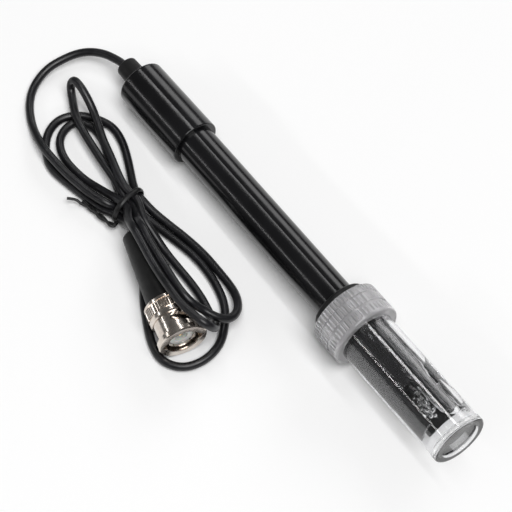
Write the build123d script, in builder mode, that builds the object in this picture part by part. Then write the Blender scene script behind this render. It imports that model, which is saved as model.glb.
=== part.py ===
"""A pH electrode in its soaking bottle, with its tied lead and bayonet plug, lying at rest.

Millimetres, +Z up, on a table at z = 0. The electrode lies along X with its bottle towards +X.
"""

from math import atan, cos, degrees, radians, sin, tan
import os

from build123d import *

os.makedirs("parts", exist_ok=True)

# Fits
RUNNING = 0.1  # radial play of pieces that turn or slide on each other
SEAT = 0.05  # play of pieces that are pressed, bonded or clamped in place

# Electrode body
SHAFT_D = 12.0
GRIP_LENGTH = 67.6  # full-diameter stretch between the head and the bottle's seal
DIP_LENGTH = 46.6  # stretch that goes into the bottle
DRAFT_STEP = 0.2  # moulding draft, taken up in one step under the seal
SHOULDER = 0.5  # step from the shaft in to its spigot
SPIGOT_LENGTH = 18.5
TUBE_WALL = 1.3
GUARD_WALL = 1.1
GUARD_SLOTS = 3
SLOT_WIDTH = 4.4
SLOT_DEPTH = 13.0
SLOT_TURN = 25.0  # degrees from the top towards -Y

# Head and cable gland
HEAD_LENGTH = 27.5
HEAD_LEDGE = 1.55  # how far the head stands out over the shaft
HEAD_TAPER = 0.25
HEAD_TOP_WALL = 2.5
EDGE_ROUND = 0.8  # top edge of the head and edges of the bottle's cap, which touch the table
GLAND_LENGTH = 7.2
GLAND_BASE_D = 6.9
GLAND_TAPER = 0.25
GLAND_ROUND = 0.6
GLAND_NECK_D = 5.2
GLAND_FLANGE_D = 8.4
GLAND_FLANGE_THICKNESS = 1.5

# Inside the electrode
STEM_D = 6.0
STEM_WALL = 0.5
BULB_D = 8.0
BULB_RECESS = 3.0  # how far the bulb stays back from the tip of the guard
STOPPER_LENGTH = 5.0
CHAMBER_PLUG_LENGTH = 6.0
TIP_BUSH_LENGTH = 6.0
JUNCTION_D = 1.0
JUNCTION_PROUD = 0.4
INNER_WIRE_D = 0.6
REFERENCE_WIRE_D = 0.5
REFERENCE_WIRE_CLEAR = 9.5  # between the wire and the bush that closes its chamber
WIRE_TAIL = 3.0  # wire left above the plug that holds it

# Soaking bottle
SEAL_WALL = 1.2
SEAL_FLANGE_THICKNESS = 2.4
SEAL_FLANGE_LEDGE = 1.45
SEAL_ROUND = 1.0
SEAL_SLEEVE_LENGTH = 7.5
VIAL_WALL = 1.15
VIAL_BASE = 2.1
VIAL_FOOT_FLARE = 0.2
VIAL_FOOT_HEIGHT = 2.0
VIAL_FOOT_RECESS_D = 12.4
VIAL_FOOT_RECESS = 0.8
TIP_ROOM = 5.3  # between the electrode's tip and the bottle's floor
CAP_WALL = 2.25
CAP_TOP_WALL = 1.6
CAP_HEIGHT = 10.8
CAP_LIP = 1.2
KNURL_COUNT = 52
KNURL_CUTTER_R = 0.55
KNURL_DEPTH = 0.35
RING_LINES = ((2.9, 0.4), (6.2, 0.9))  # distance from the cap's top and width

# Plug, along its axis from the rear of the boot
PLUG_NOSE = (6.4, -40.5)
PLUG_HEADING = -14.2  # degrees from +X
BOOT_LENGTH = 23.8
BOOT_REAR_D = 7.6
BOOT_FRONT_WALL = 1.15
BOOT_ROUND = 1.0
BOOT_NECK = 2.5  # length of the boot that hugs the cable
NUT_GAP = 0.4  # between the boot and the coupling nut
FERRULE_D = 4.0
FERRULE_LENGTH = 13.5
CABLE_IN_PLUG = 3.4
BODY_BARREL_D = 8.4
BODY_BARREL_START = 16.0
BODY_FLANGE_LEDGE = 1.1
BODY_FLANGE_THICKNESS = 1.55
CRIMP_STEM_BORE_D = 1.6
CONTACT_D = 8.0
CONTACT_WALL = 0.5
CONTACT_LENGTH = 6.9
CONTACT_SLITS = 4
SLIT_WIDTH = 0.5
GASKET_LENGTH = 1.0
GASKET_GROOVE = 0.2
INSULATOR_BACK_WALL = 4.0  # metal behind the insulator
INSULATOR_INSET = 0.6
INSULATOR_RECESS_D = 3.8
INSULATOR_RECESS = 4.6
PIN_D = 1.35
PIN_INSET = 1.2
PIN_TAIL = 3.0
CORE_D = 0.8

# Coupling nut and its spring
NUT_BORE_D = 9.8
NUT_COLLAR_WALL = 0.9
NUT_COLLAR_LENGTH = 6.0
NUT_BARREL_WALL = 1.2
NUT_BARREL_LENGTH = 5.2
NUT_FLANGE_LEDGE = 1.1
NUT_FLANGE_LENGTH = 2.0
NUT_EDGE = 0.35
NUT_KNURL_COUNT = 60
NUT_KNURL_CUTTER_R = 0.25
NUT_KNURL_START = 1.2
NUT_KNURL_LENGTH = 3.0
NUT_GROOVE = 0.3
NUT_GROOVE_WIDTH = 0.5
RING_INSET = 0.8
RING_THICKNESS = 0.55
RING_GRIP = 0.4
THRUST_THICKNESS = 0.5
SPRING_HEIGHT = 1.7
SPRING_THICKNESS = 0.4
BAYONET_SLOT_WIDTH = 2.2
BAYONET_SLOT_RUN = 7.3  # round the barrel
BAYONET_SLOT_RISE = 2.0  # along the barrel
BAYONET_HOLE_D = 2.7
BAYONET_HOLE_BACK = 5.4  # from the nut's front face
BAYONET_TURN = 40.0  # degrees from the top towards +Y
BAYONET_LUG_DEPTH = 0.7

# Cable, its tied hank and the tie
CABLE_D = 2.5
CABLE_IN_GLAND = 1.0  # how far the cable goes past the top face of the head
LEAD_OUT = 15.0  # straight run out of the gland, from the top face of the head
LEAD_BENDS = [
    (-97.0, -12.5, 2.4),
    (-92.5, -26.5, CABLE_D / 2),
    (-81.0, -34.2, 3.6),
    (-69.5, -35.4, 3.95),
    (-57.0, -33.7, 3.95),
    (-46.5, -30.0, 4.2),
]
LOOP_BENDS = [
    (-1.0, -22.5, CABLE_D / 2),
    (9.5, -27.5, CABLE_D / 2),
    (14.4, -38.6, CABLE_D / 2),
    (5.4, -49.5, CABLE_D / 2),
    (-9.6, -45.8, CABLE_D / 2),
    (-20.0, -36.4, CABLE_D / 2),
    (-30.0, -32.2, 1.45),
    (-36.8, -27.3, 2.3),
]
OVER_BENDS = [
    (-38.4, -26.8, 6.4),
    (-33.2, -29.7, 12.2),
    (-24.0, -33.6, 14.5),
    (-11.0, -36.6, 15.6),
    (2.5, -37.6, 16.7),
    (10.5, -35.6, 15.0),
    (11.5, -30.5, 9.5),
    (4.0, -28.2, 4.4),
    (-3.0, -27.2, 3.0),
]
TAIL_START = (-38.5, -28.3, 4.1)
TAIL_OUT = 3.5  # straight run behind the boot
TIE_PLACE = (-40.9, -25.9)
BUNDLE_HEADING = 12.0  # degrees from +X
BUNDLE_WIDTH = 9.2
BUNDLE_HEIGHT = 6.8
BUNDLE_LENGTH = 8.0  # on each side of the tie
UPPER_LOBE = [
    (-43.2, -26.2),
    (-51.0, -15.4),
    (-65.0, -11.0),
    (-76.3, -15.2),
    (-80.3, -25.5),
    (-75.2, -34.8),
    (-63.0, -39.2),
    (-50.0, -36.4),
]
UPPER_LOBE_ROUND = 7.0
UPPER_LOBE_EYE = (-64.0, -27.3)
UPPER_LOBE_EYE_SIZE = (15.0, 5.4)
NARROW_LOOP_TIP = (-81.5, -16.5)
NARROW_LOOP_ROOT = (-50.0, -23.5)
NARROW_LOOP_WIDTH = 8.6
NARROW_LOOP_EYE_WIDTH = 2.4
NARROW_LOOP_TOP = 5.6
LOWER_LOBE = [
    (-36.5, -22.3),
    (-22.0, -16.3),
    (-6.5, -15.2),
    (5.5, -17.7),
    (10.3, -25.0),
    (5.0, -30.3),
    (-8.0, -29.2),
    (-25.0, -26.6),
    (-36.5, -26.6),
]
LOWER_LOBE_ROUND = 4.4
LOWER_NECK_ROUND = 1.8
LOWER_LOBE_TOP = 5.6
LOBE_EDGE = 0.7
TIE_WIDTH = 2.4
TIE_THICKNESS = 0.8
TIE_TAIL_D = 1.4
TIE_TAIL_BENDS = [
    (-41.0, -33.6, 4.5),
    (-47.0, -34.4, 4.5),
    (-53.2, -38.9, 3.5),
]

# Electrode stations, from the top face of the head along its axis
shaft_r = SHAFT_D / 2
dip_r = shaft_r - DRAFT_STEP
spigot_r = shaft_r - SHOULDER
tube_bore_r = dip_r - TUBE_WALL
guard_bore_r = dip_r - GUARD_WALL
head_bottom_r = shaft_r + HEAD_LEDGE
head_top_r = head_bottom_r - HEAD_TAPER
tube_top = HEAD_LENGTH - SPIGOT_LENGTH
grip_end = HEAD_LENGTH + GRIP_LENGTH
tip = grip_end + DIP_LENGTH
slot_top = tip - SLOT_DEPTH
guard_root = slot_top - SLOT_WIDTH / 2
tip_bush_start = guard_root - TIP_BUSH_LENGTH
reference_wire_start = tube_top - WIRE_TAIL
reference_wire_end = tip_bush_start - REFERENCE_WIRE_CLEAR
seal_bore_r = dip_r + SEAT
seal_sleeve_r = seal_bore_r + SEAL_WALL
seal_flange_r = seal_sleeve_r + SEAL_FLANGE_LEDGE
vial_bore_r = seal_sleeve_r + RUNNING
vial_r = vial_bore_r + VIAL_WALL
vial_foot_r = vial_r + VIAL_FOOT_FLARE
cap_bore_r = vial_r + RUNNING
cap_r = cap_bore_r + CAP_WALL
seal_top = grip_end + SEAT
cap_top = seal_top + SEAL_FLANGE_THICKNESS + SEAT
cap_end = cap_top + CAP_HEIGHT
vial_mouth = cap_top + CAP_TOP_WALL + SEAT
vial_floor = tip + TIP_ROOM
vial_end = vial_floor + VIAL_BASE

# Plug stations, from the rear of the boot along its axis
cable_r = CABLE_D / 2
ferrule_r = FERRULE_D / 2
barrel_r = BODY_BARREL_D / 2
body_flange_r = barrel_r + BODY_FLANGE_LEDGE
contact_r = CONTACT_D / 2
contact_bore_r = contact_r - CONTACT_WALL
gasket_seat_r = contact_r - GASKET_GROOVE
nut_bore_r = NUT_BORE_D / 2
nut_rear_bore_r = body_flange_r + RUNNING
ring_groove_r = nut_rear_bore_r + RING_GRIP
nut_collar_r = ring_groove_r + NUT_COLLAR_WALL
nut_barrel_r = nut_bore_r + NUT_BARREL_WALL
nut_flange_r = nut_barrel_r + NUT_FLANGE_LEDGE
washer_bore_r = barrel_r + RUNNING
nut_rear = BOOT_LENGTH + NUT_GAP
nut_collar_end = nut_rear + NUT_COLLAR_LENGTH
nut_barrel_end = nut_collar_end + NUT_BARREL_LENGTH
nut_front = nut_barrel_end + NUT_FLANGE_LENGTH
ring_start = nut_rear + RING_INSET
ring_end = ring_start + RING_THICKNESS
thrust_start = ring_end + SEAT
thrust_end = thrust_start + THRUST_THICKNESS
spring_end = thrust_end + SEAT + SPRING_HEIGHT
body_flange_start = spring_end + SEAT
body_flange_end = body_flange_start + BODY_FLANGE_THICKNESS
nut_step = body_flange_end + SEAT
gasket_end = body_flange_end + GASKET_LENGTH
contact_end = body_flange_end + CONTACT_LENGTH
insulator_start = BODY_BARREL_START + INSULATOR_BACK_WALL
insulator_end = contact_end - INSULATOR_INSET
pin_start = insulator_start - PIN_TAIL
pin_end = contact_end - PIN_INSET

# The electrode rests on the head's top edge and the cap's edge, so its bottle end is raised a little
head_roll_r = head_top_r + EDGE_ROUND * HEAD_TAPER / HEAD_LENGTH - EDGE_ROUND
tilt = atan((cap_r - EDGE_ROUND - head_roll_r) / cap_top)
along_electrode = Vector(cos(tilt), 0, sin(tilt))
up_from_electrode = Vector(-sin(tilt), 0, cos(tilt))
head_top = Vector(
    -(vial_end - GLAND_LENGTH) / 2 * cos(tilt)
    - (vial_foot_r - GLAND_BASE_D / 2 + GLAND_TAPER) / 2 * sin(tilt),
    0,
    EDGE_ROUND + head_roll_r * cos(tilt) - EDGE_ROUND * sin(tilt),
)
electrode_axis = Axis(head_top, along_electrode)
electrode_section = Plane(head_top, x_dir=up_from_electrode, z_dir=(0, 1, 0))
electrode_cross = Plane(head_top, x_dir=up_from_electrode, z_dir=along_electrode)

# The plug lies level on its coupling nut
along_plug = Vector(cos(radians(PLUG_HEADING)), sin(radians(PLUG_HEADING)), 0)
beside_plug = Vector(-along_plug.Y, along_plug.X, 0)
boot_rear = Vector(*PLUG_NOSE, nut_flange_r) - along_plug * nut_front
plug_axis = Axis(boot_rear, along_plug)
plug_section = Plane(boot_rear, x_dir=(0, 0, 1), z_dir=beside_plug)
plug_cross = Plane(boot_rear, x_dir=(0, 0, 1), z_dir=along_plug)


def outline(section, *points):
    """A closed face of straight edges, with (radius, station) points on a lengthwise section."""
    with BuildSketch(section) as face:
        with BuildLine():
            Polyline(*points, close=True)
        make_face()
    return face.sketch


def ring(section, inner_r, outer_r, start, end):
    """The section of a plain ring or bush."""
    return outline(section, (inner_r, start), (outer_r, start), (outer_r, end), (inner_r, end))


def rod(section, radius, start, end):
    """The section of a plain rod."""
    return ring(section, 0, radius, start, end)


def arc_radii(points):
    """The largest tangent arc that each corner of a cord's route allows."""
    radii = []
    for before, corner, after in zip(points, points[1:], points[2:]):
        arrive = Vector(corner) - Vector(before)
        leave = Vector(after) - Vector(corner)
        half_turn = radians(arrive.get_angle(leave)) / 2
        radii.append(0.45 * min(arrive.length, leave.length) / tan(half_turn))
    return radii


def report_tube(label, points, part, length):
    """Print a cord's bend radii, and its volume beside section times length."""
    radii = ", ".join(f"{radius:.1f}" for radius in arc_radii(points))
    section = Circle(cable_r, mode=Mode.PRIVATE).area
    print(f"{label}: radii {radii}; length {length:.1f}; volume {part.volume:.1f} / {section * length:.1f}")


# Head cap: a moulded cup, bonded over the spigot of the shaft
with BuildPart() as head_cap:
    head_bore_r = spigot_r + SEAT
    gland_hole_r = GLAND_NECK_D / 2 + SEAT
    revolve(
        outline(
            electrode_section,
            (gland_hole_r, 0),
            (head_top_r, 0),
            (head_bottom_r, HEAD_LENGTH),
            (head_bore_r, HEAD_LENGTH),
            (head_bore_r, HEAD_TOP_WALL),
            (gland_hole_r, HEAD_TOP_WALL),
        ),
        axis=electrode_axis,
    )
    outer_edges = head_cap.edges().filter_by(GeomType.CIRCLE).group_by(SortBy.RADIUS)
    fillet(outer_edges[-2], radius=EDGE_ROUND)
    fillet(head_cap.edges().filter_by(GeomType.CIRCLE).group_by(SortBy.RADIUS)[-1], radius=EDGE_ROUND / 2)
head_cap.part.label = "head_cap"
export_step(head_cap.part, "parts/head_cap.step")

# Cable gland: a grommet with its neck in the head's top wall
with BuildPart() as cable_gland:
    gland_bore_r = cable_r + SEAT
    gland_base_r = GLAND_BASE_D / 2
    flange_start = HEAD_TOP_WALL + SEAT
    revolve(
        outline(
            electrode_section,
            (gland_bore_r, -GLAND_LENGTH),
            (gland_base_r - GLAND_TAPER, -GLAND_LENGTH),
            (gland_base_r, -SEAT),
            (GLAND_NECK_D / 2, -SEAT),
            (GLAND_NECK_D / 2, flange_start),
            (GLAND_FLANGE_D / 2, flange_start),
            (GLAND_FLANGE_D / 2, flange_start + GLAND_FLANGE_THICKNESS),
            (gland_bore_r, flange_start + GLAND_FLANGE_THICKNESS),
        ),
        axis=electrode_axis,
    )
    end_edges = cable_gland.edges().filter_by(GeomType.CIRCLE).group_by(Axis(head_top, along_electrode))[0]
    fillet(end_edges.sort_by(SortBy.RADIUS)[-1], radius=GLAND_ROUND)
cable_gland.part.label = "cable_gland"
export_step(cable_gland.part, "parts/cable_gland.step")

# Body tube: spigot, grip, dip stretch and the slotted guard round the bulb
with BuildPart() as body_tube:
    revolve(
        outline(
            electrode_section,
            (tube_bore_r, tube_top),
            (spigot_r, tube_top),
            (spigot_r, HEAD_LENGTH + SEAT),
            (shaft_r, HEAD_LENGTH + SEAT),
            (shaft_r, grip_end),
            (dip_r, grip_end),
            (dip_r, tip),
            (guard_bore_r, tip),
            (guard_bore_r, guard_root),
            (tube_bore_r, guard_root),
        ),
        axis=electrode_axis,
    )
    for slot in range(GUARD_SLOTS):
        slot_angle = SLOT_TURN + slot * 360 / GUARD_SLOTS
        outward = up_from_electrode.rotate(electrode_axis, slot_angle)
        slot_plane = Plane(
            head_top + along_electrode * (slot_top + SLOT_WIDTH / 2), x_dir=along_electrode, z_dir=outward
        )
        with BuildSketch(slot_plane):
            Circle(SLOT_WIDTH / 2)
            Rectangle(SLOT_DEPTH, SLOT_WIDTH, align=(Align.MIN, Align.CENTER))
        extrude(amount=SHAFT_D, mode=Mode.SUBTRACT)
body_tube.part.label = "body_tube"
export_step(body_tube.part, "parts/body_tube.step")

# Glass stem and bulb, blown as one piece
with BuildPart() as glass_bulb_stem:
    stem_r = STEM_D / 2
    bulb_r = BULB_D / 2
    stem_top = tube_top + SEAT
    bulb_centre = tip - BULB_RECESS - bulb_r
    stem_end = bulb_centre - (bulb_r**2 - stem_r**2) ** 0.5
    stem_bore_r = stem_r - STEM_WALL
    bulb_bore_r = bulb_r - STEM_WALL
    bore_end = bulb_centre - (bulb_bore_r**2 - stem_bore_r**2) ** 0.5
    with BuildSketch(electrode_section):
        with BuildLine():
            Polyline((stem_bore_r, bore_end), (stem_bore_r, stem_top), (stem_r, stem_top), (stem_r, stem_end))
            ThreePointArc((stem_r, stem_end), (bulb_r, bulb_centre), (0, bulb_centre + bulb_r))
            Line((0, bulb_centre + bulb_r), (0, bulb_centre + bulb_bore_r))
            ThreePointArc(
                (0, bulb_centre + bulb_bore_r), (bulb_bore_r, bulb_centre), (stem_bore_r, bore_end)
            )
        make_face()
    revolve(axis=electrode_axis)
glass_bulb_stem.part.label = "glass_bulb_stem"
export_step(glass_bulb_stem.part, "parts/glass_bulb_stem.step")

# Stopper in the top of the stem, round the inner wire
with BuildPart() as stem_stopper:
    inner_wire_r = INNER_WIRE_D / 2
    revolve(
        ring(
            electrode_section, inner_wire_r + SEAT, stem_bore_r - SEAT, stem_top, stem_top + STOPPER_LENGTH
        ),
        axis=electrode_axis,
    )
stem_stopper.part.label = "stem_stopper"
export_step(stem_stopper.part, "parts/stem_stopper.step")

# Inner silver wire, from the end of the cable into the bulb
with BuildPart() as inner_wire:
    revolve(rod(electrode_section, inner_wire_r, CABLE_IN_GLAND, bulb_centre), axis=electrode_axis)
inner_wire.part.label = "inner_wire"
export_step(inner_wire.part, "parts/inner_wire.step")

# Plug that closes the top of the reference chamber, with a hole for the reference wire
chamber_r = (stem_r + tube_bore_r) / 2
chamber_seats = electrode_cross.offset(tube_top)
with BuildPart() as chamber_plug:
    revolve(
        ring(
            electrode_section,
            stem_r + SEAT,
            tube_bore_r - SEAT,
            tube_top,
            tube_top + CHAMBER_PLUG_LENGTH,
        ),
        axis=electrode_axis,
    )
    with BuildSketch(chamber_seats):
        with Locations((chamber_r, 0)):
            Circle(REFERENCE_WIRE_D / 2 + SEAT)
    extrude(amount=CHAMBER_PLUG_LENGTH, mode=Mode.SUBTRACT)
chamber_plug.part.label = "chamber_plug"
export_step(chamber_plug.part, "parts/chamber_plug.step")

# Reference wire, down the reference chamber
with BuildPart() as reference_wire:
    with BuildSketch(electrode_cross.offset(reference_wire_start)):
        with Locations((chamber_r, 0)):
            Circle(REFERENCE_WIRE_D / 2)
    extrude(amount=reference_wire_end - reference_wire_start)
reference_wire.part.label = "reference_wire"
export_step(reference_wire.part, "parts/reference_wire.step")

# Bush that holds the stem above the guard and closes the chamber, with the porous junction in it
with BuildPart() as tip_bush:
    revolve(
        ring(
            electrode_section,
            stem_r + SEAT,
            tube_bore_r - SEAT,
            tip_bush_start,
            guard_root,
        ),
        axis=electrode_axis,
    )
    with BuildSketch(electrode_cross.offset(guard_root)):
        with Locations((chamber_r, 0)):
            Circle(JUNCTION_D / 2 + SEAT)
    extrude(amount=-TIP_BUSH_LENGTH, mode=Mode.SUBTRACT)
tip_bush.part.label = "tip_bush"
export_step(tip_bush.part, "parts/tip_bush.step")

with BuildPart() as reference_junction:
    with BuildSketch(electrode_cross.offset(guard_root + JUNCTION_PROUD)):
        with Locations((chamber_r, 0)):
            Circle(JUNCTION_D / 2)
    extrude(amount=-TIP_BUSH_LENGTH - JUNCTION_PROUD)
reference_junction.part.label = "reference_junction"
export_step(reference_junction.part, "parts/reference_junction.step")

# Rubber seal: a flange on the cap, and a sleeve through it into the bottle's mouth
with BuildPart() as vial_seal:
    flange_end = seal_top + SEAL_FLANGE_THICKNESS
    sleeve_end = flange_end + SEAL_SLEEVE_LENGTH
    revolve(
        outline(
            electrode_section,
            (seal_bore_r, seal_top),
            (seal_flange_r, seal_top),
            (seal_flange_r, flange_end),
            (seal_sleeve_r, flange_end),
            (seal_sleeve_r, sleeve_end),
            (seal_bore_r, sleeve_end),
        ),
        axis=electrode_axis,
    )
    fillet(vial_seal.edges().filter_by(GeomType.CIRCLE).group_by(SortBy.RADIUS)[-1], radius=SEAL_ROUND)
vial_seal.part.label = "vial_seal"
export_step(vial_seal.part, "parts/vial_seal.step")

# Screw cap with three knurled bands and a plain lip
with BuildPart() as vial_cap:
    cap_hole_r = seal_sleeve_r + RUNNING
    revolve(
        outline(
            electrode_section,
            (cap_hole_r, cap_top),
            (cap_r, cap_top),
            (cap_r, cap_end),
            (cap_bore_r, cap_end),
            (cap_bore_r, cap_top + CAP_TOP_WALL),
            (cap_hole_r, cap_top + CAP_TOP_WALL),
        ),
        axis=electrode_axis,
    )
    fillet(vial_cap.edges().filter_by(GeomType.CIRCLE).group_by(SortBy.RADIUS)[-1], radius=EDGE_ROUND)
    with BuildSketch(electrode_cross.offset(cap_top)):
        with PolarLocations(cap_r + KNURL_CUTTER_R - KNURL_DEPTH, KNURL_COUNT, start_angle=180 / KNURL_COUNT):
            RegularPolygon(KNURL_CUTTER_R, 4)
    extrude(amount=CAP_HEIGHT - CAP_LIP, mode=Mode.SUBTRACT)
    for line_start, line_width in RING_LINES:
        line = ring(
            electrode_section,
            cap_r - KNURL_DEPTH,
            cap_r + KNURL_DEPTH,
            cap_top + line_start,
            cap_top + line_start + line_width,
        )
        revolve(line, axis=electrode_axis, mode=Mode.SUBTRACT)
vial_cap.part.label = "vial_cap"
export_step(vial_cap.part, "parts/vial_cap.step")

# Bottle, with a flared foot and a recess under it
with BuildPart() as vial:
    recess_r = VIAL_FOOT_RECESS_D / 2
    revolve(
        outline(
            electrode_section,
            (vial_bore_r, vial_mouth),
            (vial_r, vial_mouth),
            (vial_r, vial_end - 2 * VIAL_FOOT_HEIGHT),
            (vial_foot_r, vial_end - VIAL_FOOT_HEIGHT),
            (vial_foot_r, vial_end),
            (recess_r, vial_end),
            (recess_r, vial_end - VIAL_FOOT_RECESS),
            (0, vial_end - VIAL_FOOT_RECESS),
            (0, vial_floor),
            (vial_bore_r, vial_floor),
        ),
        axis=electrode_axis,
    )
    foot_edges = vial.edges().filter_by(GeomType.CIRCLE).group_by(Axis(head_top, along_electrode))[-1]
    fillet(foot_edges.sort_by(SortBy.RADIUS)[-1], radius=EDGE_ROUND)
vial.part.label = "vial"
export_step(vial.part, "parts/vial.step")

# Rubber boot of the plug, tapered towards the cable
with BuildPart() as plug_boot:
    boot_rear_r = BOOT_REAR_D / 2
    boot_front_bore_r = barrel_r + SEAT
    revolve(
        outline(
            plug_section,
            (cable_r + SEAT, 0),
            (boot_rear_r, 0),
            (boot_front_bore_r + BOOT_FRONT_WALL, BOOT_LENGTH),
            (boot_front_bore_r, BOOT_LENGTH),
            (boot_front_bore_r, BODY_BARREL_START),
            (ferrule_r + SEAT, BODY_BARREL_START),
            (ferrule_r + SEAT, BOOT_NECK),
            (cable_r + SEAT, BOOT_NECK),
        ),
        axis=plug_axis,
    )
    rear_edges = plug_boot.edges().filter_by(GeomType.CIRCLE).group_by(Axis(boot_rear, along_plug))[0]
    fillet(rear_edges.sort_by(SortBy.RADIUS)[-1], radius=BOOT_ROUND)
plug_boot.part.label = "plug_boot"
export_step(plug_boot.part, "parts/plug_boot.step")

# Crimp ferrule over the end of the cable and the body's crimp stem
with BuildPart() as crimp_ferrule:
    revolve(
        ring(plug_section, cable_r + SEAT, ferrule_r, BOOT_NECK, BOOT_NECK + FERRULE_LENGTH),
        axis=plug_axis,
    )
crimp_ferrule.part.label = "crimp_ferrule"
export_step(crimp_ferrule.part, "parts/crimp_ferrule.step")

# Plug body: crimp stem, barrel, flange and the slit outer contact
with BuildPart() as plug_body:
    stem_bore = CRIMP_STEM_BORE_D / 2
    revolve(
        outline(
            plug_section,
            (stem_bore, CABLE_IN_PLUG),
            (cable_r, CABLE_IN_PLUG),
            (cable_r, BODY_BARREL_START),
            (barrel_r, BODY_BARREL_START),
            (barrel_r, body_flange_start),
            (body_flange_r, body_flange_start),
            (body_flange_r, body_flange_end),
            (gasket_seat_r, body_flange_end),
            (gasket_seat_r, gasket_end),
            (contact_r, gasket_end),
            (contact_r, contact_end),
            (contact_bore_r, contact_end),
            (contact_bore_r, insulator_start),
            (stem_bore, insulator_start),
        ),
        axis=plug_axis,
    )
    slit_length = contact_end - gasket_end - CONTACT_WALL
    with BuildSketch(plug_cross.offset(contact_end)):
        with PolarLocations(contact_r - CONTACT_WALL / 2, CONTACT_SLITS, start_angle=180 / CONTACT_SLITS):
            Rectangle(2 * CONTACT_WALL, SLIT_WIDTH)
    extrude(amount=-slit_length, mode=Mode.SUBTRACT)
plug_body.part.label = "plug_body"
export_step(plug_body.part, "parts/plug_body.step")

# Insulator, with a recess round the pin
with BuildPart() as plug_insulator:
    pin_hole_r = PIN_D / 2 + SEAT
    recess_wall_r = INSULATOR_RECESS_D / 2
    insulator_r = contact_bore_r - SEAT
    revolve(
        outline(
            plug_section,
            (pin_hole_r, insulator_start),
            (insulator_r, insulator_start),
            (insulator_r, insulator_end),
            (recess_wall_r, insulator_end),
            (recess_wall_r, insulator_end - INSULATOR_RECESS),
            (pin_hole_r, insulator_end - INSULATOR_RECESS),
        ),
        axis=plug_axis,
    )
plug_insulator.part.label = "plug_insulator"
export_step(plug_insulator.part, "parts/plug_insulator.step")

# Centre pin, with a domed end
with BuildPart() as centre_pin:
    revolve(rod(plug_section, PIN_D / 2, pin_start, pin_end), axis=plug_axis)
    nose_edge = centre_pin.edges().filter_by(GeomType.CIRCLE).sort_by(Axis(boot_rear, along_plug))[-1]
    fillet(nose_edge, radius=PIN_D / 3)
centre_pin.part.label = "centre_pin"
export_step(centre_pin.part, "parts/centre_pin.step")

# Bared core of the cable, soldered into the pin
with BuildPart() as core_wire:
    revolve(rod(plug_section, CORE_D / 2, CABLE_IN_PLUG, pin_start), axis=plug_axis)
core_wire.part.label = "core_wire"
export_step(core_wire.part, "parts/core_wire.step")

# Gasket round the root of the outer contact
with BuildPart() as plug_gasket:
    revolve(
        ring(plug_section, gasket_seat_r + SEAT, nut_bore_r - RUNNING, body_flange_end, gasket_end),
        axis=plug_axis,
    )
plug_gasket.part.label = "plug_gasket"
export_step(plug_gasket.part, "parts/plug_gasket.step")

# Dished spring washer between the body's flange and the thrust washer
with BuildPart() as spring_washer:
    spring_start = thrust_end + SEAT
    spring_r = nut_rear_bore_r - RUNNING
    revolve(
        outline(
            plug_section,
            (washer_bore_r, spring_start),
            (washer_bore_r, spring_start + SPRING_THICKNESS),
            (spring_r, spring_end),
            (spring_r, spring_end - SPRING_THICKNESS),
        ),
        axis=plug_axis,
    )
spring_washer.part.label = "spring_washer"
export_step(spring_washer.part, "parts/spring_washer.step")

# Thrust washer, which the coupling nut turns on and carries forward
with BuildPart() as thrust_washer:
    revolve(
        ring(plug_section, washer_bore_r, nut_rear_bore_r - RUNNING, thrust_start, thrust_end),
        axis=plug_axis,
    )
thrust_washer.part.label = "thrust_washer"
export_step(thrust_washer.part, "parts/thrust_washer.step")

# Snap ring in the rear of the nut, which keeps the washers in
with BuildPart() as retaining_ring:
    revolve(
        ring(plug_section, washer_bore_r, ring_groove_r - SEAT, ring_start + SEAT, ring_end - SEAT),
        axis=plug_axis,
    )
retaining_ring.part.label = "retaining_ring"
export_step(retaining_ring.part, "parts/retaining_ring.step")

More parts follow.
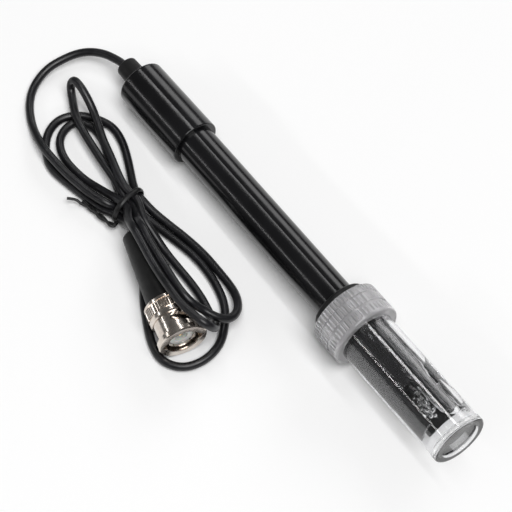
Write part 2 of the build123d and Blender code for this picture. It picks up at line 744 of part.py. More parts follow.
# Coupling nut: knurled collar, barrel with two bayonet slots, and front flange
with BuildPart() as coupling_nut:
    groove_start = nut_rear + NUT_KNURL_START + NUT_KNURL_LENGTH
    groove_end = groove_start + NUT_GROOVE_WIDTH
    revolve(
        outline(
            plug_section,
            (nut_rear_bore_r, nut_rear),
            (nut_collar_r - NUT_EDGE, nut_rear),
            (nut_collar_r, nut_rear + NUT_EDGE),
            (nut_collar_r, groove_start),
            (nut_collar_r - NUT_GROOVE, groove_start),
            (nut_collar_r - NUT_GROOVE, groove_end),
            (nut_collar_r, groove_end),
            (nut_collar_r, nut_collar_end - NUT_EDGE),
            (nut_collar_r - NUT_EDGE, nut_collar_end),
            (nut_barrel_r, nut_collar_end),
            (nut_barrel_r, nut_barrel_end),
            (nut_flange_r, nut_barrel_end + NUT_EDGE),
            (nut_flange_r, nut_front - NUT_EDGE),
            (nut_flange_r - NUT_EDGE, nut_front),
            (nut_bore_r, nut_front),
            (nut_bore_r, nut_step),
            (nut_rear_bore_r, nut_step),
            (nut_rear_bore_r, ring_end),
            (ring_groove_r, ring_end),
            (ring_groove_r, ring_start),
            (nut_rear_bore_r, ring_start),
        ),
        axis=plug_axis,
    )
    with BuildSketch(plug_cross.offset(nut_rear + NUT_KNURL_START)):
        with PolarLocations(nut_collar_r, NUT_KNURL_COUNT, start_angle=180 / NUT_KNURL_COUNT):
            RegularPolygon(NUT_KNURL_CUTTER_R, 4)
    extrude(amount=NUT_KNURL_LENGTH, mode=Mode.SUBTRACT)
    hole_station = nut_front - BAYONET_HOLE_BACK
    lug_r = nut_bore_r + BAYONET_LUG_DEPTH
    lug_height = (lug_r**2 - (BAYONET_SLOT_RUN / 2) ** 2) ** 0.5
    for half_turn in (0, 180):
        outward = Vector(0, 0, 1).rotate(plug_axis, half_turn - BAYONET_TURN)
        slot_plane = Plane(boot_rear + along_plug * hole_station, x_dir=along_plug, z_dir=outward)
        with BuildSketch(slot_plane):
            SlotCenterPoint((BAYONET_SLOT_RISE / 2, 0), (0, -BAYONET_SLOT_RUN / 2), BAYONET_SLOT_WIDTH)
            with Locations((0, -BAYONET_SLOT_RUN / 2)):
                Circle(BAYONET_HOLE_D / 2)
        extrude(amount=nut_flange_r, mode=Mode.SUBTRACT)
        with BuildSketch(slot_plane):
            with Locations((BAYONET_SLOT_RISE, BAYONET_SLOT_RUN / 2)):
                Rectangle(BAYONET_HOLE_BACK, BAYONET_SLOT_WIDTH, align=(Align.MIN, Align.CENTER))
        extrude(amount=lug_height, mode=Mode.SUBTRACT)
coupling_nut.part.label = "coupling_nut"
export_step(coupling_nut.part, "parts/coupling_nut.step")

# Lead, from the gland round to the tied bundle
with BuildPart() as cable_lead:
    lead_points = [
        tuple(head_top + along_electrode * CABLE_IN_GLAND),
        tuple(head_top - along_electrode * LEAD_OUT),
        *LEAD_BENDS,
    ]
    with BuildLine():
        lead_route = FilletPolyline(*lead_points, radius=arc_radii(lead_points))
    with BuildSketch(Plane(lead_route @ 0, z_dir=lead_route % 0)):
        Circle(cable_r)
    sweep(path=lead_route)
cable_lead.part.label = "cable_lead"
report_tube("cable_lead", lead_points, cable_lead.part, lead_route.length)
export_step(cable_lead.part, "parts/cable_lead.step")

# The tied bundle of turns, seen along it from the tie
bundle_along = Vector(cos(radians(BUNDLE_HEADING)), sin(radians(BUNDLE_HEADING)), 0)
bundle_left = Vector(-bundle_along.Y, bundle_along.X, 0)
bundle_centre = Vector(*TIE_PLACE, BUNDLE_HEIGHT / 2 + SEAT + TIE_THICKNESS)
bundle_cross = Plane(bundle_centre, x_dir=bundle_left, z_dir=bundle_along)

# Hank on the lead's side of the tie: two round turns on the table, and a narrow one on top of them
with BuildPart() as cable_hank_upper:
    with BuildSketch():
        with BuildLine():
            FilletPolyline(*UPPER_LOBE, radius=UPPER_LOBE_ROUND, close=True)
        make_face()
        with Locations(UPPER_LOBE_EYE):
            Ellipse(UPPER_LOBE_EYE_SIZE[0] / 2, UPPER_LOBE_EYE_SIZE[1] / 2, mode=Mode.SUBTRACT)
    extrude(amount=CABLE_D)
    chamfer(cable_hank_upper.faces().sort_by(Axis.Z)[-1].edges(), length=LOBE_EDGE)
    narrow_centre = (Vector(NARROW_LOOP_ROOT) + Vector(NARROW_LOOP_TIP)) / 2
    with BuildSketch(Plane.XY.offset(CABLE_D)):
        SlotCenterPoint(narrow_centre, NARROW_LOOP_TIP, NARROW_LOOP_WIDTH)
        SlotCenterPoint(narrow_centre, NARROW_LOOP_TIP, NARROW_LOOP_EYE_WIDTH, mode=Mode.SUBTRACT)
    extrude(amount=NARROW_LOOP_TOP - CABLE_D)
    chamfer(cable_hank_upper.faces().sort_by(Axis.Z)[-1].edges(), length=LOBE_EDGE)
    with BuildSketch(bundle_cross):
        Ellipse(BUNDLE_WIDTH / 2, BUNDLE_HEIGHT / 2)
    extrude(amount=-BUNDLE_LENGTH)
cable_hank_upper.part.label = "cable_hank_upper"
export_step(cable_hank_upper.part, "parts/cable_hank_upper.step")

# Hank on the plug's side of the tie: turns that lie between the electrode and the plug
with BuildPart() as cable_hank_lower:
    with BuildSketch() as lower_lobe:
        with BuildLine():
            Polyline(*LOWER_LOBE, close=True)
        make_face()
        neck = lower_lobe.vertices().sort_by(Axis.X)[:2]
        fillet(neck, radius=LOWER_NECK_ROUND)
        fillet(lower_lobe.vertices().sort_by(Axis.X)[4:], radius=LOWER_LOBE_ROUND)
    extrude(amount=LOWER_LOBE_TOP)
    chamfer(cable_hank_lower.faces().sort_by(Axis.Z)[-1].edges(), length=LOBE_EDGE)
    with BuildSketch(bundle_cross):
        Ellipse(BUNDLE_WIDTH / 2, BUNDLE_HEIGHT / 2)
    extrude(amount=BUNDLE_LENGTH)
cable_hank_lower.part.label = "cable_hank_lower"
export_step(cable_hank_lower.part, "parts/cable_hank_lower.step")

# Wide turn, out of the hank, in front of the plug's nose and back under its boot
with BuildPart() as cable_loop:
    with BuildLine():
        loop_route = FilletPolyline(*LOOP_BENDS, radius=arc_radii(LOOP_BENDS))
    with BuildSketch(Plane(loop_route @ 0, z_dir=loop_route % 0)):
        Circle(cable_r)
    sweep(path=loop_route)
cable_loop.part.label = "cable_loop"
report_tube("cable_loop", LOOP_BENDS, cable_loop.part, loop_route.length)
export_step(cable_loop.part, "parts/cable_loop.step")

# Turn that leans over the plug, and falls past its nose back into the hank
with BuildPart() as cable_over:
    with BuildLine():
        over_route = FilletPolyline(*OVER_BENDS, radius=arc_radii(OVER_BENDS))
    with BuildSketch(Plane(over_route @ 0, z_dir=over_route % 0)):
        Circle(cable_r)
    sweep(path=over_route)
cable_over.part.label = "cable_over"
report_tube("cable_over", OVER_BENDS, cable_over.part, over_route.length)
export_step(cable_over.part, "parts/cable_over.step")

# Tail of the cable, from the tied bundle into the boot
with BuildPart() as cable_tail:
    tail_points = [
        TAIL_START,
        tuple(boot_rear - along_plug * TAIL_OUT),
        tuple(boot_rear + along_plug * CABLE_IN_PLUG),
    ]
    with BuildLine():
        tail_route = FilletPolyline(*tail_points, radius=arc_radii(tail_points))
    with BuildSketch(Plane(tail_route @ 0, z_dir=tail_route % 0)):
        Circle(cable_r)
    sweep(path=tail_route)
cable_tail.part.label = "cable_tail"
report_tube("cable_tail", tail_points, cable_tail.part, tail_route.length)
export_step(cable_tail.part, "parts/cable_tail.step")

# Tie: a band round the bundle, with one end left long
with BuildPart() as twist_tie:
    tie_inside = SEAT + TIE_THICKNESS
    with BuildSketch(bundle_cross):
        Ellipse(BUNDLE_WIDTH / 2 + tie_inside, BUNDLE_HEIGHT / 2 + tie_inside)
        Ellipse(BUNDLE_WIDTH / 2 + SEAT, BUNDLE_HEIGHT / 2 + SEAT, mode=Mode.SUBTRACT)
    extrude(amount=TIE_WIDTH / 2, both=True)
    tie_root = bundle_centre - bundle_left * (BUNDLE_WIDTH / 2 + SEAT + TIE_TAIL_D / 2)
    tie_points = [tuple(tie_root), *TIE_TAIL_BENDS]
    with BuildLine():
        tie_route = FilletPolyline(*tie_points, radius=arc_radii(tie_points))
    with BuildSketch(Plane(tie_route @ 0, z_dir=tie_route % 0)):
        Circle(TIE_TAIL_D / 2)
    sweep(path=tie_route)
twist_tie.part.label = "twist_tie"
export_step(twist_tie.part, "parts/twist_tie.step")
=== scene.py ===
from math import cos, pi, radians, sin

import bmesh
import bpy
from mathutils import Matrix, Vector


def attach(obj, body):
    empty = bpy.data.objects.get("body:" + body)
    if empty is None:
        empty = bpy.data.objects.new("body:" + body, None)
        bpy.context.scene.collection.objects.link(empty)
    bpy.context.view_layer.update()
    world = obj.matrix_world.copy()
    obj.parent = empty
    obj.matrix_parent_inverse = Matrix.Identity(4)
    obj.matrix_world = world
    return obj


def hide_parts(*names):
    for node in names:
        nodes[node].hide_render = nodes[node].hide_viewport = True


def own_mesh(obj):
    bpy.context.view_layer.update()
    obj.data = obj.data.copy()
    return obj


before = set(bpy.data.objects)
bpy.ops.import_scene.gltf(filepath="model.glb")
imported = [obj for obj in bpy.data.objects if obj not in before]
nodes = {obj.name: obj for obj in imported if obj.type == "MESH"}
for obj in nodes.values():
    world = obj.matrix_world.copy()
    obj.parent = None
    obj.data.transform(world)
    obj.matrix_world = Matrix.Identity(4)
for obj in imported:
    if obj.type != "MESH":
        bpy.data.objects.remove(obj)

MM = 0.001
CURVE_STEPS = 6  # between two control points of a curve
BEVEL_STEPS = 4
SHARP_EDGE = radians(40)  # faces that meet at a larger angle keep a sharp edge
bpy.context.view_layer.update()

# Camera, at the photograph's angle
CAMERA_AZIMUTH = radians(53.28)
CAMERA_ELEVATION = radians(60.37)
CAMERA_DISTANCE = 0.7719
CAMERA_TARGET = Vector((-0.00675, -0.00554, 0))
CAMERA_LENS = 190.0
SENSOR_WIDTH = 36.0

# Cord, in millimetres: control points picked strand by strand on the photograph, each with a height,
# in the order that the cable follows
CABLE_D = 2.5
LEAD_STRAND = [
    (-70.5, 0, 7.3), (-78.25, 0, 7), (-83, -1.25, 6.5), (-86.5, -2.75, 6), (-89.75, -5.25, 5.2),
    (-92, -8.5, 4.3), (-93.25, -12.75, 3.4), (-93.75, -17, 2.7), (-93, -21, 2), (-91.25, -24.75, 1.4),
    (-88.25, -28, 1.25), (-84.5, -30.5, 1.25), (-80, -32.5, 1.3), (-75, -34, 2.9),
    (-70.5, -34.75, 3.9), (-66.25, -34.75, 3.9), (-60, -34.5, 3.9), (-54, -33.5, 3.9),
    (-49, -32.5, 3.9), (-44.25, -31, 4.3), (-42.25, -28.5, 2), (-38.75, -27.75, 2),
]
LOOP_ROUND_PLUG = [
    (-34.25, -28.25, 1.5), (-30.5, -30.5, 1.3), (-20, -35.5, 1.25), (-13, -40.5, 1.25),
    (-9, -42.5, 1.25), (-4.75, -44.75, 1.25), (-0.25, -46.5, 1.25), (4.5, -47.25, 1.25), (8.5, -45.5, 1.25),
    (11, -42.5, 1.25), (12, -38.5, 1.25), (11.75, -34.5, 1.25), (10.25, -30.5, 1.25),
    (7.5, -27.25, 1.25), (4, -24.25, 1.25), (0, -22, 1.25), (-4.75, -20.75, 1.25), (-10, -20, 1.25),
    (-16, -20, 1.25), (-22.25, -21, 1.25), (-28.75, -22.5, 1.3), (-34, -23.5, 1.6),
    (-39.25, -25.25, 2), (-42.75, -26, 2),
]
INNER_UPPER_LOOP = [
    (-49.25, -24.5, 1.6), (-54.25, -22.25, 1.25), (-59.5, -20.25, 1.25), (-64.25, -18.5, 1.25),
    (-68.75, -18.25, 1.25), (-72.25, -19.5, 1.25), (-74.25, -21.75, 1.25), (-74, -25, 1.25),
    (-72.25, -28.25, 1.25), (-69.25, -30.25, 1.25), (-65.5, -31.25, 1.25), (-61, -31.25, 1.25),
    (-55.75, -30.5, 1.3), (-50.75, -29.25, 2.2), (-46, -28.5, 4.2), (-42.25, -27.75, 5.6),
    (-38.75, -27.25, 6.1),
]
LOOP_OVER_PLUG = [
    (-34, -30.75, 9.4), (-28.5, -32.25, 13.3), (-24, -33, 13), (-18.25, -34.25, 13.4),
    (-12, -35.25, 13.8), (-5.25, -36.25, 15.6), (0, -36.25, 15), (5, -35.5, 14.7), (8.25, -34.75, 14.8),
    (9.75, -33.5, 13.2), (9.25, -31.25, 9), (5, -28.5, 3.2), (2, -27.75, 1.3),
    (-0.5, -27.25, 1.25), (-4, -26.5, 1.25), (-9.5, -26, 1.25), (-15.75, -26, 1.25), (-22, -26, 1.3),
    (-26.75, -25.75, 2.4), (-30.5, -25.75, 4), (-34.25, -25.5, 5), (-39.75, -23.25, 5.2),
    (-43.25, -24, 5.2),
]
NARROW_UPPER_LOOP = [
    (-46.25, -24, 5.9), (-51, -22.75, 5.5), (-56.75, -21, 4.9), (-62.5, -19.5, 4.3), (-67.75, -17.5, 4.2),
    (-72.5, -16, 4.9), (-76.25, -15.5, 6.8), (-79.5, -15.25, 7.9), (-82.75, -15.25, 7.7),
    (-83.75, -16, 5.6), (-82.5, -17, 3.6), (-80, -18.25, 3.2), (-74.5, -21, 3.6),
    (-68.5, -22.25, 3.7), (-62.5, -23, 3.6), (-56, -23.75, 3.6), (-49.25, -24.25, 3.8),
    (-42.75, -26, 4.2), (-39.25, -25.25, 4.2),
]
OUTER_LOWER_LOOP = [
    (-34, -27.75, 6.6), (-30.5, -29.25, 11.6), (-26.5, -30.25, 12.9), (-21.5, -31.25, 12.7),
    (-15.75, -32, 12.8), (-10, -33, 13.5), (-4, -34, 14.8), (0.5, -33.5, 13.7), (2.5, -31.5, 10.8),
    (5.25, -30, 9.6), (7.25, -28.25, 8.4), (8.25, -25.5, 6.6), (6.75, -22, 4.8), (3.25, -19.25, 3),
    (-1.5, -17.75, 1.6), (-7.75, -17.5, 1.25), (-15.5, -17.5, 1.25), (-23, -18.5, 1.25), (-30, -20, 1.3),
    (-35.25, -21.25, 2.1), (-39.5, -21.75, 3), (-43, -21.75, 2.9),
]
OUTER_UPPER_LOOP = [
    (-46.25, -20.5, 2.1), (-50.25, -18.5, 1.3), (-55, -16.25, 1.25), (-60.25, -14.25, 1.25),
    (-65.75, -13.5, 1.25), (-70, -15, 1.25), (-73.75, -17.5, 1.25), (-76.5, -20.75, 1.25),
    (-77.75, -24.75, 1.25), (-76.5, -29, 1.25), (-73.5, -32.5, 1.25), (-69.5, -35, 1.25),
    (-65, -36.25, 1.25), (-59.75, -35.5, 1.25), (-53.75, -34.25, 1.25), (-48.75, -33.25, 1.3),
    (-44.75, -32.25, 1.4), (-41.75, -30.75, 2), (-38, -30.25, 2.6),
]
TAIL_STRAND = [(-35.5, -30.5, 5.3), (-32.5, -30.75, 7.2), (-29.5, -31.5, 7.2), (-26.5, -32.25, 7.2)]
CABLE_ROUTE = (
    LEAD_STRAND + LOOP_ROUND_PLUG + INNER_UPPER_LOOP + LOOP_OVER_PLUG
    + NARROW_UPPER_LOOP + OUTER_LOWER_LOOP + OUTER_UPPER_LOOP + TAIL_STRAND
)

# Twist tie, in millimetres: its ring as (across the bundle, height), and the line of its twisted ends
TIE_CENTRE = Vector((-40.9, -25.9, 0))
TIE_HEADING = radians(12)
TIE_RING = [
    (-6.2, 1.2), (-3, 0.4), (2, 0.4), (5.2, 1), (6, 3.4), (4.5, 6.6), (0.6, 7.5), (-2.8, 7.4), (-5.3, 5.2),
]
TIE_BAND_WIDTH = 1.6
TIE_BAND_THICKNESS = 0.6
TIE_BAND_PROFILE = [
    # shares of half the width and of half the thickness, round the section with the rib over its wire
    (-1, -0.4), (-0.8, -0.8), (0.8, -0.8), (1, -0.4), (1, 0.4), (0.75, 1), (0.3, 1.5),
    (-0.3, 1.5), (-0.75, 1), (-1, 0.4),
]
TIE_ENDS = [
    (-38.75, -31.5, 2.4), (-37.5, -32.75, 2.6), (-38.75, -33.5, 2.4), (-41, -33.75, 2), (-43.25, -34.25, 1.8),
    (-45.25, -34.5, 1.7), (-47, -34.75, 1.6), (-48.75, -35.25, 1.6), (-50.25, -35.75, 1.8),
]
TIE_TIP = [(-51.5, -36.5, 2.2), (-52.75, -38, 2.8), (-53.25, -38.75, 3)]
TIE_WIRE_D = 0.85
TIE_TWIST_R = 0.5
TIE_TWIST_SLANT = 0.2  # the share of the twist that goes along X

# Storage solution in the bottle: places along the electrode from the top of its head, in millimetres
ELECTRODE_TOP = Vector((-70.999, 0, 7.276))
ELECTRODE_TILT = radians(1.9616)
SOLUTION_R = 7.19  # just into the bottle's wall, so that no air shows between them
SOLUTION_START = 105.2
SOLUTION_END = 147.02
AIR_POCKET_DEPTH = 2.0  # more than the gap beside the electrode, so that the pocket reaches it
POCKET_DEPTH_SHARE = 0.4  # the most depth for the width, where the pocket is narrow
ARC_STEPS = 64
POCKET_STEPS = 24
ALONG_STEPS = 120
AIR_POCKET = [
    # place along the electrode, and degrees from the top towards +Y at the pocket's two shores
    (105, -14, 80), (112, -17, 82), (118, -10, 78), (124, -13, 64), (128, -12, 38), (131, -12, 28),
    (134, -13, 50), (138, -11, 66), (141.5, -9, 58), (143.5, 2, 34), (145, 14, 15),
]
BUBBLES = [
    # place along the electrode, degrees from the top towards +Y, distance from the axis, radius
    (132.4, -22, 6.1, 0.6), (133.5, -34, 6.2, 0.45), (134.4, -24, 5.8, 0.9), (135.7, -34, 5.9, 0.65),
    (136.3, -23, 5.9, 1.0), (137.3, -37, 6.2, 0.5), (138.1, -29, 5.6, 1.05), (139.5, -20, 5.9, 0.85),
    (140.4, -32, 5.8, 0.7), (141.3, -23, 6.1, 0.5), (133.3, -15, 6.4, 0.4), (137.4, -16, 6.4, 0.4),
    (142.6, 44, 6.3, 0.45), (143.6, 52, 6.2, 0.6), (144.5, 40, 6.3, 0.4), (145.0, 55, 6.1, 0.5),
]

# Stage: lamps by name, place and size in metres, and watts
LAMPS = [
    ("main_light", (0.7, -0.1, 2.0), 1.4, 1.4, 38.5),
    ("side_light", (-0.5, 0.95, 0.6), 0.6, 0.45, 2.4),
    ("strip_light", (-0.42, -0.83, 0.5), 0.9, 0.04, 1.0),
    ("overhead_strip", (-0.6, 0.3, 1.34), 0.9, 0.11, 2.4),
]
FLOOR_HALF = 3.0
WORLD_LEVEL = 0.1
WORLD_THROUGH_CLEAR = 1.0  # seen through the bottle, where the pale surroundings show
SHARE_AFTER_REFLECTION = 0.1


def link(name, data):
    """A new object in the scene."""
    made = bpy.data.objects.new(name, data)
    bpy.context.scene.collection.objects.link(made)
    return made


def nurbs(name, points, bevel_r=0.0, cyclic=False):
    """A smooth curve object with these control points, in millimetres."""
    curve = bpy.data.curves.new(name, "CURVE")
    curve.dimensions = "3D"
    curve.resolution_u = CURVE_STEPS
    curve.bevel_depth = bevel_r * MM
    curve.bevel_resolution = BEVEL_STEPS
    curve.use_fill_caps = True
    spline = curve.splines.new("NURBS")
    spline.points.add(len(points) - 1)
    for control, place in zip(spline.points, points):
        control.co = (*(Vector(place) * MM), 1)
    spline.use_cyclic_u = cyclic
    spline.order_u = 3
    spline.use_endpoint_u = not cyclic
    return link(name, curve)


# Materials
def add_node(tree, kind, **sockets):
    """A shader node of this kind, with its sockets set by name."""
    made = tree.nodes.new("ShaderNode" + kind)
    for name, value in sockets.items():
        made.inputs[name.replace("_", " ")].default_value = value
    return made


def surface(name, **sockets):
    """A new material, as its node tree, its shader and its object coordinates."""
    made = bpy.data.materials.new(name)
    made.use_nodes = True
    tree = made.node_tree
    shader = tree.nodes["Principled BSDF"]
    for socket, value in sockets.items():
        shader.inputs[socket.replace("_", " ")].default_value = value
    place = tree.nodes.new("ShaderNodeTexCoord").outputs["Object"]
    return made, tree, shader, place


def noise(tree, place, scale, detail=2.0, stretch=(1, 1, 1)):
    """The factor of a noise whose grains are about 1 / scale metres."""
    mapping = add_node(tree, "Mapping", Scale=stretch)
    tree.links.new(place, mapping.inputs["Vector"])
    texture = add_node(tree, "TexNoise", Scale=scale, Detail=detail)
    tree.links.new(mapping.outputs["Vector"], texture.inputs["Vector"])
    return texture.outputs["Fac"]


def vary_colour(tree, shader, factor, dark, pale):
    """Base colour between two close tones."""
    ramp = tree.nodes.new("ShaderNodeValToRGB")
    ramp.color_ramp.elements[0].position = 0.35
    ramp.color_ramp.elements[1].position = 0.65
    ramp.color_ramp.elements[0].color = (*dark, 1)
    ramp.color_ramp.elements[1].color = (*pale, 1)
    tree.links.new(factor, ramp.inputs["Fac"])
    tree.links.new(ramp.outputs["Color"], shader.inputs["Base Color"])


def vary_roughness(tree, shader, factor, low, high):
    """Roughness between two limits."""
    spread = add_node(tree, "MapRange", From_Min=0.3, From_Max=0.7, To_Min=low, To_Max=high)
    tree.links.new(factor, spread.inputs["Value"])
    tree.links.new(spread.outputs["Result"], shader.inputs["Roughness"])


def emboss(tree, shader, factor, depth_mm, strength=1.0):
    """Fine relief of this depth."""
    bump = add_node(tree, "Bump", Strength=strength, Distance=depth_mm * MM)
    tree.links.new(factor, bump.inputs["Height"])
    tree.links.new(bump.outputs["Normal"], shader.inputs["Normal"])


def black_gloss_plastic():
    made, tree, shader, place = surface("black_gloss_plastic", Specular_IOR_Level=0.45)
    vary_colour(tree, shader, noise(tree, place, 60), (0.004, 0.004, 0.0045), (0.007, 0.007, 0.008))
    vary_roughness(tree, shader, noise(tree, place, 250, 4), 0.16, 0.22)
    emboss(tree, shader, noise(tree, place, 500, 2), 0.004, 0.5)
    return made


def black_rubber():
    made, tree, shader, place = surface("black_rubber", Specular_IOR_Level=0.3)
    vary_colour(tree, shader, noise(tree, place, 300, 4), (0.004, 0.004, 0.004), (0.008, 0.008, 0.008))
    vary_roughness(tree, shader, noise(tree, place, 900, 3), 0.42, 0.55)
    emboss(tree, shader, noise(tree, place, 2500, 3), 0.02, 0.6)
    return made


def cable_jacket():
    made, tree, shader, place = surface("cable_jacket", Specular_IOR_Level=0.45)
    vary_colour(tree, shader, noise(tree, place, 150, 3), (0.005, 0.005, 0.006), (0.010, 0.010, 0.012))
    vary_roughness(tree, shader, noise(tree, place, 600, 3), 0.28, 0.4)
    emboss(tree, shader, noise(tree, place, 1500, 3), 0.01, 0.6)
    return made


def tie_black():
    made, tree, shader, place = surface("tie_black", Specular_IOR_Level=0.4)
    vary_colour(tree, shader, noise(tree, place, 400, 3), (0.005, 0.005, 0.005), (0.009, 0.009, 0.010))
    vary_roughness(tree, shader, noise(tree, place, 900, 3), 0.35, 0.5)
    emboss(tree, shader, noise(tree, place, 1200, 2), 0.03, 0.6)
    return made


def clear_plastic():
    made, tree, shader, place = surface(
        "clear_plastic", Base_Color=(0.93, 0.93, 0.94, 1), Transmission_Weight=1.0, IOR=1.49
    )
    vary_roughness(tree, shader, noise(tree, place, 300, 3), 0.0, 0.015)
    emboss(tree, shader, noise(tree, place, 120, 2), 0.01, 0.5)
    return made


def frosted_cap():
    made, tree, shader, place = surface(
        "frosted_cap", Base_Color=(0.95, 0.94, 0.96, 1), Transmission_Weight=0.7, IOR=1.49
    )
    vary_roughness(tree, shader, noise(tree, place, 300, 3), 0.03, 0.05)
    return made


def electrode_glass():
    made, tree, shader, place = surface(
        "electrode_glass", Base_Color=(0.97, 0.98, 0.98, 1), Transmission_Weight=1.0, IOR=1.52
    )
    vary_roughness(tree, shader, noise(tree, place, 400, 2), 0.0, 0.02)
    return made


def nickel_plate():
    made, tree, shader, place = surface("nickel_plate", Metallic=1.0)
    vary_colour(tree, shader, noise(tree, place, 350, 4), (0.62, 0.55, 0.49), (0.78, 0.72, 0.66))
    vary_roughness(tree, shader, noise(tree, place, 1500, 4), 0.14, 0.26)
    emboss(tree, shader, noise(tree, place, 3000, 3), 0.006, 0.5)
    return made


def gold_plate():
    made, tree, shader, place = surface("gold_plate", Metallic=1.0)
    vary_colour(tree, shader, noise(tree, place, 500, 3), (0.78, 0.52, 0.24), (0.9, 0.68, 0.36))
    vary_roughness(tree, shader, noise(tree, place, 1500, 3), 0.18, 0.3)
    return made


def white_insulator():
    made, tree, shader, place = surface("white_insulator", Subsurface_Weight=0.2, Subsurface_Scale=0.0008)
    vary_colour(tree, shader, noise(tree, place, 300, 3), (0.8, 0.8, 0.77), (0.88, 0.88, 0.86))
    vary_roughness(tree, shader, noise(tree, place, 1200, 2), 0.3, 0.42)
    return made


def silver_wire():
    made, tree, shader, place = surface("silver_wire", Metallic=1.0)
    vary_colour(tree, shader, noise(tree, place, 800, 4), (0.5, 0.48, 0.45), (0.85, 0.84, 0.82))
    vary_roughness(tree, shader, noise(tree, place, 2000, 3), 0.2, 0.4)
    return made


def porous_ceramic():
    made, tree, shader, place = surface("porous_ceramic")
    vary_colour(tree, shader, noise(tree, place, 5000, 4), (0.7, 0.68, 0.62), (0.88, 0.86, 0.82))
    vary_roughness(tree, shader, noise(tree, place, 4000, 2), 0.7, 0.9)
    emboss(tree, shader, noise(tree, place, 6000, 4), 0.04)
    return made


def potting_resin():
    made, tree, shader, place = surface("potting_resin")
    vary_colour(tree, shader, noise(tree, place, 400, 3), (0.03, 0.03, 0.032), (0.06, 0.058, 0.055))
    vary_roughness(tree, shader, noise(tree, place, 700, 3), 0.3, 0.5)
    return made


def copper_core():
    made, tree, shader, place = surface("copper_core", Metallic=1.0)
    vary_colour(tree, shader, noise(tree, place, 900, 3), (0.7, 0.32, 0.18), (0.9, 0.5, 0.32))
    vary_roughness(tree, shader, noise(tree, place, 2000, 2), 0.25, 0.4)
    return made


def storage_solution():
    made, tree, shader, place = surface(
        "storage_solution", Base_Color=(0.985, 0.99, 0.985, 1), Transmission_Weight=1.0, IOR=1.33
    )
    vary_roughness(tree, shader, noise(tree, place, 200, 2), 0.0, 0.01)
    return made


FINISHES = {
    make.__name__: make()
    for make in (
        black_gloss_plastic, black_rubber, cable_jacket, tie_black, clear_plastic, frosted_cap,
        electrode_glass, nickel_plate, gold_plate, white_insulator, silver_wire, porous_ceramic,
        potting_resin, copper_core, storage_solution,
    )
}
for node in nodes.values():
    node.data.materials[0] = FINISHES[node.data.materials[0].name.split(".")[0]]
nodes["vial_cap"].data.materials[0] = FINISHES["frosted_cap"]


# Cable
cable = nurbs("cable", CABLE_ROUTE, CABLE_D / 2)
cable.data.materials.append(FINISHES["cable_jacket"])
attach(cable, "electrode")
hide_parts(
    "cable_lead", "cable_hank_upper", "cable_hank_lower", "cable_loop", "cable_over", "cable_tail",
)


# Twist tie
def read_points(curve_object):
    """The points of a smooth curve, in order, and the curve itself is removed."""
    bpy.context.view_layer.update()
    line = bpy.data.meshes.new_from_object(curve_object)
    places = [vertex.co.copy() for vertex in line.vertices]
    bpy.data.objects.remove(curve_object)
    return places


def mesh_piece(name, shape, finish, body):
    """A smoothly shaded piece from a finished bmesh, which rides on a body."""
    mesh = bpy.data.meshes.new(name)
    shape.to_mesh(mesh)
    shape.free()
    mesh.shade_smooth()
    mesh.set_sharp_from_angle(angle=SHARP_EDGE)
    mesh.materials.append(FINISHES[finish])
    made = link(name, mesh)
    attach(made, body)
    return made


def sweep_closed(shape, rings):
    """Faces between each ring of points and the next, the last with the first."""
    made = [[shape.verts.new(place) for place in ring] for ring in rings]
    for ring, after in zip(made, made[1:] + made[:1]):
        for i in range(len(ring)):
            shape.faces.new((ring[i - 1], ring[i], after[i], after[i - 1]))


tie_along = Vector((cos(TIE_HEADING), sin(TIE_HEADING), 0))
tie_across = Vector((-sin(TIE_HEADING), cos(TIE_HEADING), 0))
ring_line = read_points(
    nurbs(
        "tie_ring",
        [TIE_CENTRE + tie_across * across + Vector((0, 0, height)) for across, height in TIE_RING],
        cyclic=True,
    )
)
band_rings = []
for i, place in enumerate(ring_line):
    onward = (ring_line[(i + 1) % len(ring_line)] - ring_line[i - 1]).normalized()
    outward = onward.cross(tie_along)
    band_rings.append(
        [
            place
            + tie_along * (TIE_BAND_WIDTH / 2 * MM * wide)
            + outward * (TIE_BAND_THICKNESS / 2 * MM * thick)
            for wide, thick in TIE_BAND_PROFILE
        ]
    )
band_shape = bmesh.new()
sweep_closed(band_shape, band_rings)
bmesh.ops.recalc_face_normals(band_shape, faces=band_shape.faces)
tie_band = mesh_piece("tie_band", band_shape, "tie_black", "electrode")
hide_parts("twist_tie")

for name, phase, tip in (("tie_end_long", 0, TIE_TIP), ("tie_end_short", pi, [])):
    strand = []
    for i, place in enumerate(TIE_ENDS):
        turn = i * pi / 2 + phase
        aside = Vector((TIE_TWIST_SLANT * cos(turn), -cos(turn), sin(turn)))
        strand.append(Vector(place) + TIE_TWIST_R * aside)
    tie_end = nurbs(name, strand + [Vector(place) for place in tip], TIE_WIRE_D / 2)
    tie_end.data.materials.append(FINISHES["tie_black"])
    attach(tie_end, "electrode")


# Spring washer in the plug, copied with a mesh of its own in place of the imported one
spring_dish = link("spring_dish", nodes["spring_washer"].data.copy())
spring_dish.matrix_world = nodes["spring_washer"].matrix_world
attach(spring_dish, "electrode")
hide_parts("spring_washer")
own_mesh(spring_dish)


# Storage solution
def in_bottle(along, side, rise):
    """A point by its place along the electrode, towards +Y and up from the electrode's axis."""
    return MM * (
        ELECTRODE_TOP
        + along * Vector((cos(ELECTRODE_TILT), 0, sin(ELECTRODE_TILT)))
        + Vector((-rise * sin(ELECTRODE_TILT), side, rise * cos(ELECTRODE_TILT)))
    )


def pocket_shores(along):
    """The angles of the air pocket's two shores, smoothly between the places in the list."""
    for (start, *shores), (end, *shores_after) in zip(AIR_POCKET, AIR_POCKET[1:]):
        if along <= end:
            share = (1 - cos(pi * (along - start) / (end - start))) / 2
            return [radians(a + (b - a) * share) for a, b in zip(shores, shores_after)]
    return [radians(angle) for angle in AIR_POCKET[-1][1:]]


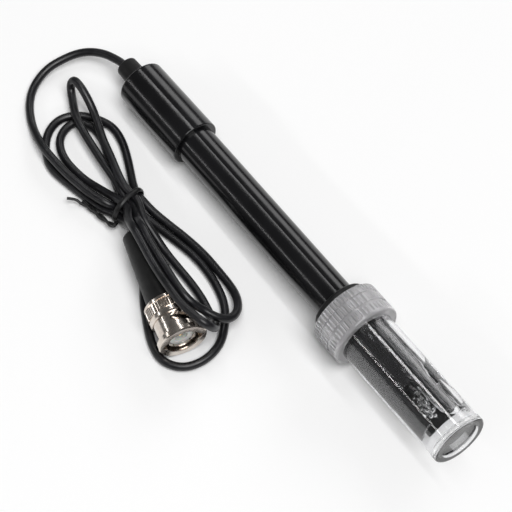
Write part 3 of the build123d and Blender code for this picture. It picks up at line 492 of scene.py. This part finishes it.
solution_shape = bmesh.new()
solution_rings = []
for step in range(ALONG_STEPS + 1):
    along = SOLUTION_START + (SOLUTION_END - SOLUTION_START) * step / ALONG_STEPS
    left, right = pocket_shores(along)
    depth = min(AIR_POCKET_DEPTH, POCKET_DEPTH_SHARE * SOLUTION_R * (right - left))
    spots = []
    for i in range(ARC_STEPS + 1):
        spots.append((right + (2 * pi + left - right) * i / ARC_STEPS, SOLUTION_R))
    for i in range(1, POCKET_STEPS):
        share = (1 - cos(pi * i / POCKET_STEPS)) / 2
        spots.append((left + (right - left) * share, SOLUTION_R - depth * (1 - abs(2 * share - 1) ** 3)))
    solution_rings.append(
        [solution_shape.verts.new(in_bottle(along, r * sin(turn), r * cos(turn))) for turn, r in spots]
    )
for ring, after in zip(solution_rings, solution_rings[1:]):
    for i in range(len(ring)):
        solution_shape.faces.new((ring[i - 1], ring[i], after[i], after[i - 1]))
solution_shape.faces.new(solution_rings[0])
solution_shape.faces.new(solution_rings[-1])
bmesh.ops.recalc_face_normals(solution_shape, faces=solution_shape.faces)
for along, turn, distance, radius in BUBBLES:
    made = bmesh.ops.create_icosphere(solution_shape, subdivisions=3, radius=radius * MM)
    place = in_bottle(along, distance * sin(radians(turn)), distance * cos(radians(turn)))
    bmesh.ops.translate(solution_shape, verts=made["verts"], vec=place)
    bmesh.ops.reverse_faces(
        solution_shape, faces=list({face for vertex in made["verts"] for face in vertex.link_faces})
    )
solution = mesh_piece("solution", solution_shape, "storage_solution", "vial")
solution.visible_shadow = False
nodes["vial"].visible_shadow = False


# Stage
def aim(thing, target):
    """Turn a camera or a light so that it looks at a point."""
    thing.rotation_euler = (target - thing.location).to_track_quat("-Z", "Y").to_euler()


camera = link("camera", bpy.data.cameras.new("camera"))
camera.data.lens = CAMERA_LENS
camera.data.sensor_width = SENSOR_WIDTH
camera.location = CAMERA_TARGET + CAMERA_DISTANCE * Vector(
    (
        sin(CAMERA_AZIMUTH) * cos(CAMERA_ELEVATION),
        -cos(CAMERA_AZIMUTH) * cos(CAMERA_ELEVATION),
        sin(CAMERA_ELEVATION),
    )
)
aim(camera, CAMERA_TARGET)
bpy.context.scene.camera = camera
bpy.context.scene.view_settings.view_transform = "Standard"
# The bottle and its solution cast no shadow, so light bent through them would be counted twice
bpy.context.scene.cycles.caustics_reflective = False
bpy.context.scene.cycles.caustics_refractive = False


def softbox(name, place, length, depth, watts):
    """A rectangular soft light, in metres, aimed at the object, with its length along X."""
    lamp = bpy.data.lights.new(name, "AREA")
    lamp.shape = "RECTANGLE"
    lamp.size = length
    lamp.size_y = depth
    lamp.energy = watts
    made = link(name, lamp)
    made.location = place
    away = (place - CAMERA_TARGET).normalized()
    across = away.cross(Vector((1, 0, 0))).normalized()
    made.rotation_euler = Matrix((across.cross(away), across, away)).transposed().to_euler()


for name, place, length, depth, watts in LAMPS:
    softbox(name, Vector(place), length, depth, watts)

floor_mesh = bpy.data.meshes.new("floor")
floor_corners = [(x * FLOOR_HALF, y * FLOOR_HALF, 0) for x, y in ((-1, -1), (1, -1), (1, 1), (-1, 1))]
floor_mesh.from_pydata(floor_corners, [], [(0, 1, 2, 3)])
floor = link("floor", floor_mesh)
floor_finish, floor_tree, floor_shader, floor_place = surface("floor", Specular_IOR_Level=0.1)
floor_clouds = noise(floor_tree, floor_place, 3)
vary_colour(floor_tree, floor_shader, floor_clouds, (0.96, 0.96, 0.96), (0.98, 0.98, 0.98))
vary_roughness(floor_tree, floor_shader, noise(floor_tree, floor_place, 40), 0.7, 0.8)
floor_mesh.materials.append(floor_finish)

# A dim white world, brighter for rays that come through clear plastic without a reflection
world = bpy.data.worlds.new("studio")
bpy.context.scene.world = world
world.use_nodes = True
background = world.node_tree.nodes["Background"]
background.inputs["Color"].default_value = (1, 1, 1, 1)
rays = world.node_tree.nodes.new("ShaderNodeLightPath")
unreflected = add_node(world.node_tree, "MapRange", To_Min=1.0, To_Max=SHARE_AFTER_REFLECTION)
world.node_tree.links.new(rays.outputs["Glossy Depth"], unreflected.inputs["Value"])
through = world.node_tree.nodes.new("ShaderNodeMath")
through.operation = "MULTIPLY"
world.node_tree.links.new(rays.outputs["Is Transmission Ray"], through.inputs[0])
world.node_tree.links.new(unreflected.outputs["Result"], through.inputs[1])
level = add_node(world.node_tree, "MapRange", To_Min=WORLD_LEVEL, To_Max=WORLD_THROUGH_CLEAR)
world.node_tree.links.new(through.outputs["Value"], level.inputs["Value"])
world.node_tree.links.new(level.outputs["Result"], background.inputs["Strength"])
